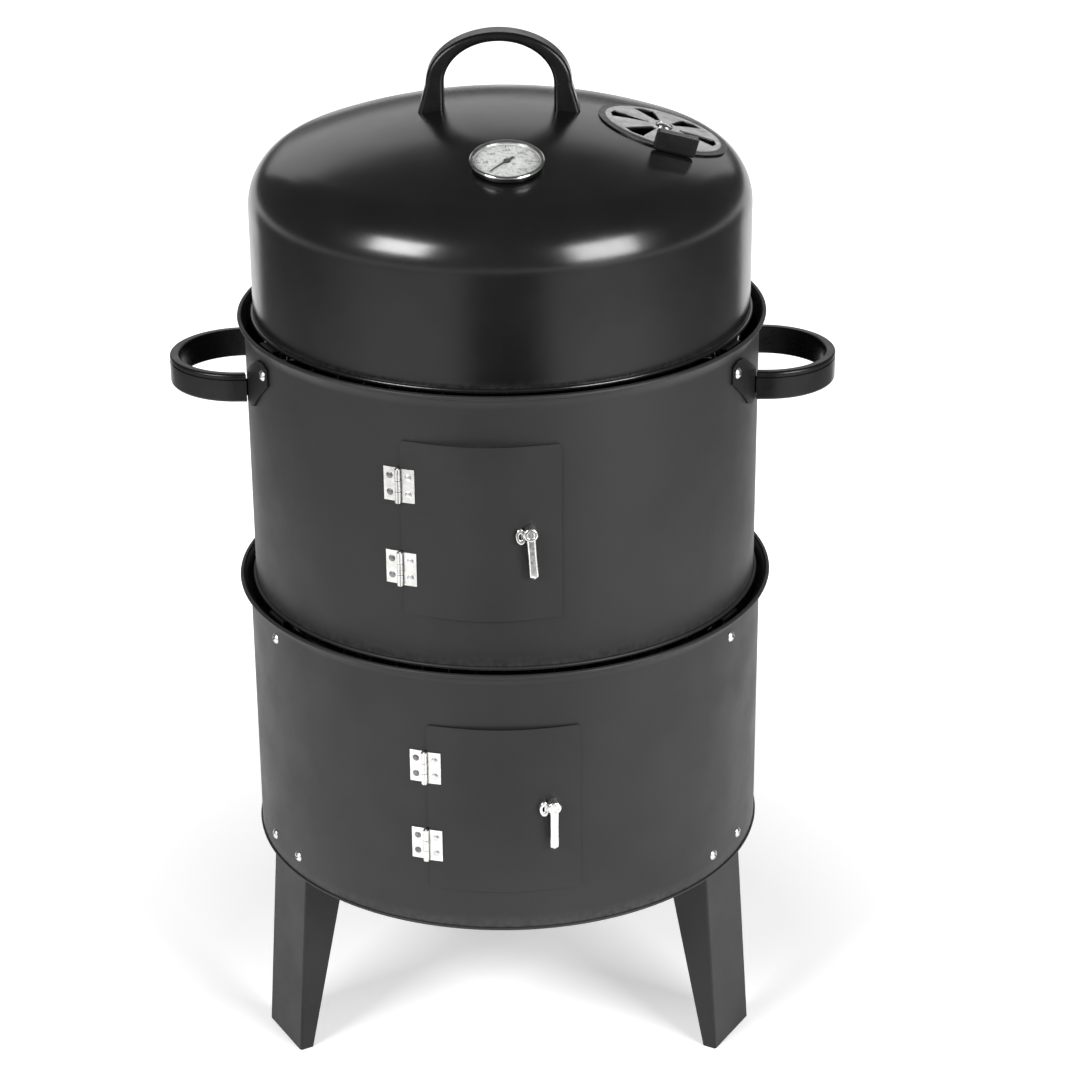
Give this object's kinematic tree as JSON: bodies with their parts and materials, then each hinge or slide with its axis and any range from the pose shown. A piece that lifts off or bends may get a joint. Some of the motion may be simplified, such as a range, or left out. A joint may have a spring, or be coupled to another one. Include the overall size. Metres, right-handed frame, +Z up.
{
  "type": "vertical water smoker",
  "caption": "Vertical charcoal water smoker: domed vented lid with dial thermometer over two stacked drums with hinged doors, side handles, grates, bowls and channel legs.",
  "frame": {"origin": "on the floor, on the drums' axis", "axes": "+Z up along the drums' axis, -Y towards the front (doors), +X to the right of someone facing the doors"},
  "size_m": [0.5144, 0.4204, 0.8045],
  "materials": {
    "drum_paint": "satin black powder coat",
    "lid_paint": "semi-gloss black enamel",
    "bowl_enamel": "gloss black enamel",
    "nickel": "bright nickel plate",
    "zinc": "zinc plate",
    "chrome_wire": "bright wire",
    "phenolic": "moulded black, semi-gloss",
    "stainless": "polished",
    "dial_face": "satin silver-white print",
    "gauge_glass": "clear",
    "pointer": "matt black"
  },
  "bodies": {
    "base": {"lower_drum": "drum_paint", "lower_hinge_drum_leaves": "nickel", "lower_hinge_pins": "nickel", "lower_hinge_drum_rivets": "nickel", "lower_grate_supports": "drum_paint", "lower_support_bolts": "zinc", "lower_support_nuts": "zinc", "leg_front_left": "drum_paint", "leg_front_right": "drum_paint", "leg_rear": "drum_paint", "leg_bolts": "zinc", "leg_nuts": "zinc"},
    "door_lower": {"lower_door": "drum_paint", "lower_hinge_door_leaves": "nickel", "lower_hinge_door_rivets": "nickel"},
    "latch_lower": {"lower_latch_handle": "nickel", "lower_latch_tongue": "zinc"},
    "upper_body": {"upper_drum": "drum_paint", "upper_hinge_drum_leaves": "nickel", "upper_hinge_pins": "nickel", "upper_hinge_drum_rivets": "nickel", "upper_grate_supports": "drum_paint", "side_handle_bolts": "zinc", "side_handle_nuts": "zinc", "rear_support_bolt": "zinc", "rear_support_nut": "zinc", "side_handle_brackets_left": "drum_paint", "side_handle_brackets_right": "drum_paint", "side_handle_grip_left": "phenolic", "side_handle_grip_right": "phenolic"},
    "door_upper": {"upper_door": "drum_paint", "upper_hinge_door_leaves": "nickel", "upper_hinge_door_rivets": "nickel"},
    "latch_upper": {"upper_latch_handle": "nickel", "upper_latch_tongue": "zinc"},
    "lid": {"lid_shell": "lid_paint", "lid_handle": "phenolic", "lid_handle_screws": "zinc", "lid_handle_washers": "zinc", "vent_rivet": "stainless", "gauge_case": "stainless", "gauge_dial": "dial_face", "gauge_glass": "gauge_glass", "gauge_stem": "stainless", "gauge_nut": "zinc"},
    "damper": {"vent_damper": "stainless", "vent_damper_grip": "phenolic"},
    "needle": {"gauge_needle": "pointer"},
    "grate_upper": {"upper_cooking_grate": "chrome_wire"},
    "grate_lower": {"lower_cooking_grate": "chrome_wire"},
    "water_pan": {"water_bowl": "bowl_enamel"},
    "charcoal_pan": {"charcoal_bowl": "bowl_enamel"},
    "charcoal_rack": {"charcoal_grate": "chrome_wire"}
  },
  "joints": [
    {"name": "upper_body_lift", "type": "slide", "parent": "base", "child": "upper_body", "axis": [0, 0, 1], "range_m": [0, 0.25]},
    {"name": "lid_lift", "type": "slide", "parent": "upper_body", "child": "lid", "axis": [0, 0, 1], "range_m": [0, 0.25]},
    {"name": "lower_door_swing", "type": "hinge", "parent": "base", "child": "door_lower", "pos_m": [-0.05825, -0.19728, 0.259], "axis": [0, 0, -1], "range_deg": [0, 110]},
    {"name": "upper_door_swing", "type": "hinge", "parent": "upper_body", "child": "door_upper", "pos_m": [-0.07265, -0.1873, 0.484], "axis": [0, 0, -1], "range_deg": [0, 110]},
    {"name": "lower_latch_turn", "type": "hinge", "parent": "door_lower", "child": "latch_lower", "pos_m": [0.03721, -0.19885, 0.2648], "axis": [0.184, -0.9829, 0], "range_deg": [0, 90]},
    {"name": "upper_latch_turn", "type": "hinge", "parent": "door_upper", "child": "latch_upper", "pos_m": [0.02201, -0.19627, 0.4862], "axis": [0.1115, -0.9938, 0], "range_deg": [0, 90]},
    {"name": "damper_turn", "type": "hinge", "parent": "lid", "child": "damper", "pos_m": [0.1227, -0.00493, 0.73062], "axis": [0.2727, -0.011, 0.962], "range_deg": [0, 30]},
    {"name": "needle_turn", "type": "hinge", "parent": "lid", "child": "needle", "pos_m": [0.00732, -0.11326, 0.73315], "axis": [-0.0163, 0.2517, -0.9677], "range_deg": [0, 270]},
    {"name": "upper_grate_lift", "type": "slide", "parent": "upper_body", "child": "grate_upper", "axis": [0, 0, 1], "range_m": [0, 0.05]},
    {"name": "lower_grate_lift", "type": "slide", "parent": "base", "child": "grate_lower", "axis": [0, 0, 1], "range_m": [0, 0.05]},
    {"name": "water_bowl_lift", "type": "slide", "parent": "base", "child": "water_pan", "axis": [0, 0, 1], "range_m": [0, 0.02]},
    {"name": "charcoal_bowl_lift", "type": "slide", "parent": "base", "child": "charcoal_pan", "axis": [0, 0, 1], "range_m": [0, 0.03]},
    {"name": "charcoal_grate_lift", "type": "slide", "parent": "charcoal_pan", "child": "charcoal_rack", "axis": [0, 0, 1], "range_m": [0, 0.03]}
  ]
}
